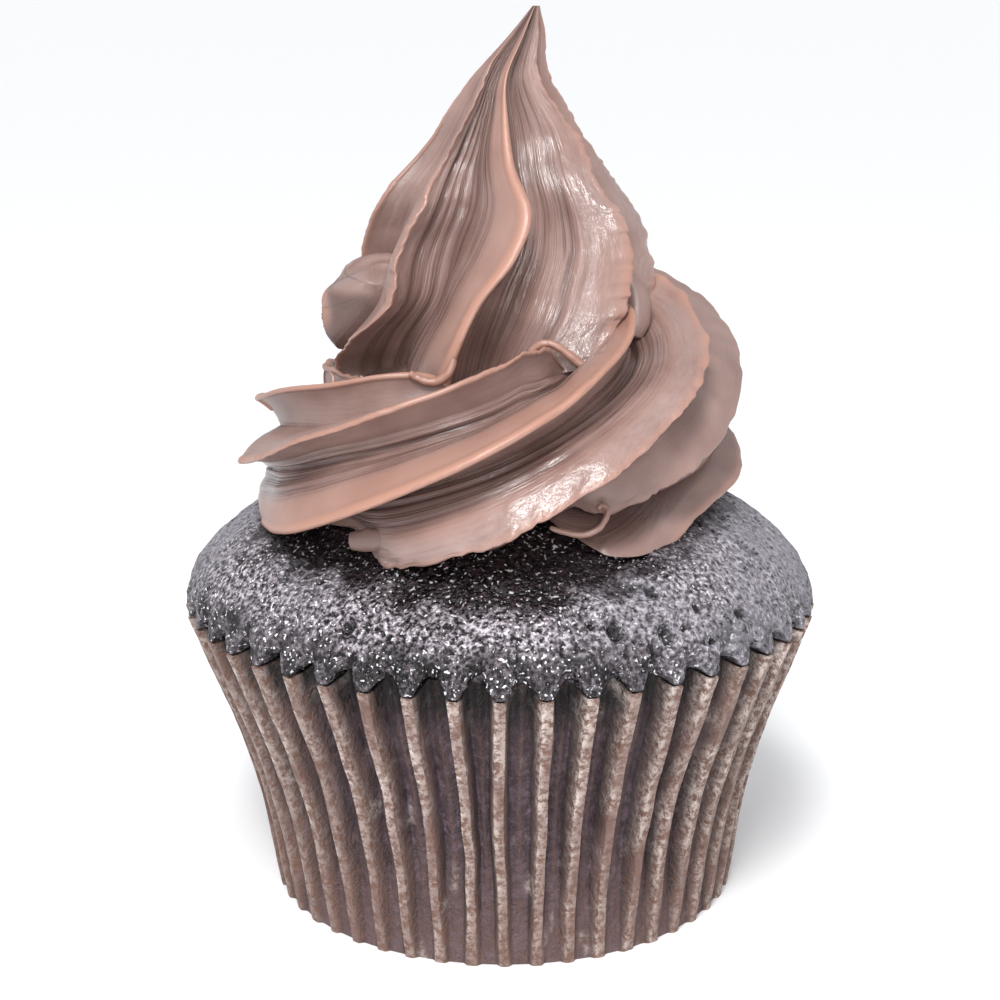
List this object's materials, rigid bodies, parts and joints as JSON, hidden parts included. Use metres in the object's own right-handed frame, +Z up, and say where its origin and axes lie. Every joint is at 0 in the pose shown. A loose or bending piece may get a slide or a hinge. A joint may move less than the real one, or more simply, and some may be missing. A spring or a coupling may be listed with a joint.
{
  "type": "cupcake",
  "caption": "Chocolate cupcake in a pleated paper case, with a tall swirl of star-piped chocolate frosting ending in a peak.",
  "frame": {"origin": "centre of the paper case, at the height of the flat base that it stands on", "axes": "+Z up to the peak of the frosting, +X to the right as the shown side is faced, -Y towards the shown side"},
  "size_m": [0.07, 0.07, 0.0965],
  "materials": {
    "paper_case": "translucent baking paper, greased dark brown by the cake behind it, pale along the folds",
    "sponge": "moist dark chocolate sponge, fine open crumb with a grey sheen",
    "frosting": "smooth whipped chocolate frosting, soft gloss, warm thin edges"
  },
  "bodies": {
    "root": {"paper_case": "paper_case", "sponge": "sponge", "frosting": "frosting"}
  },
  "joints": []
}
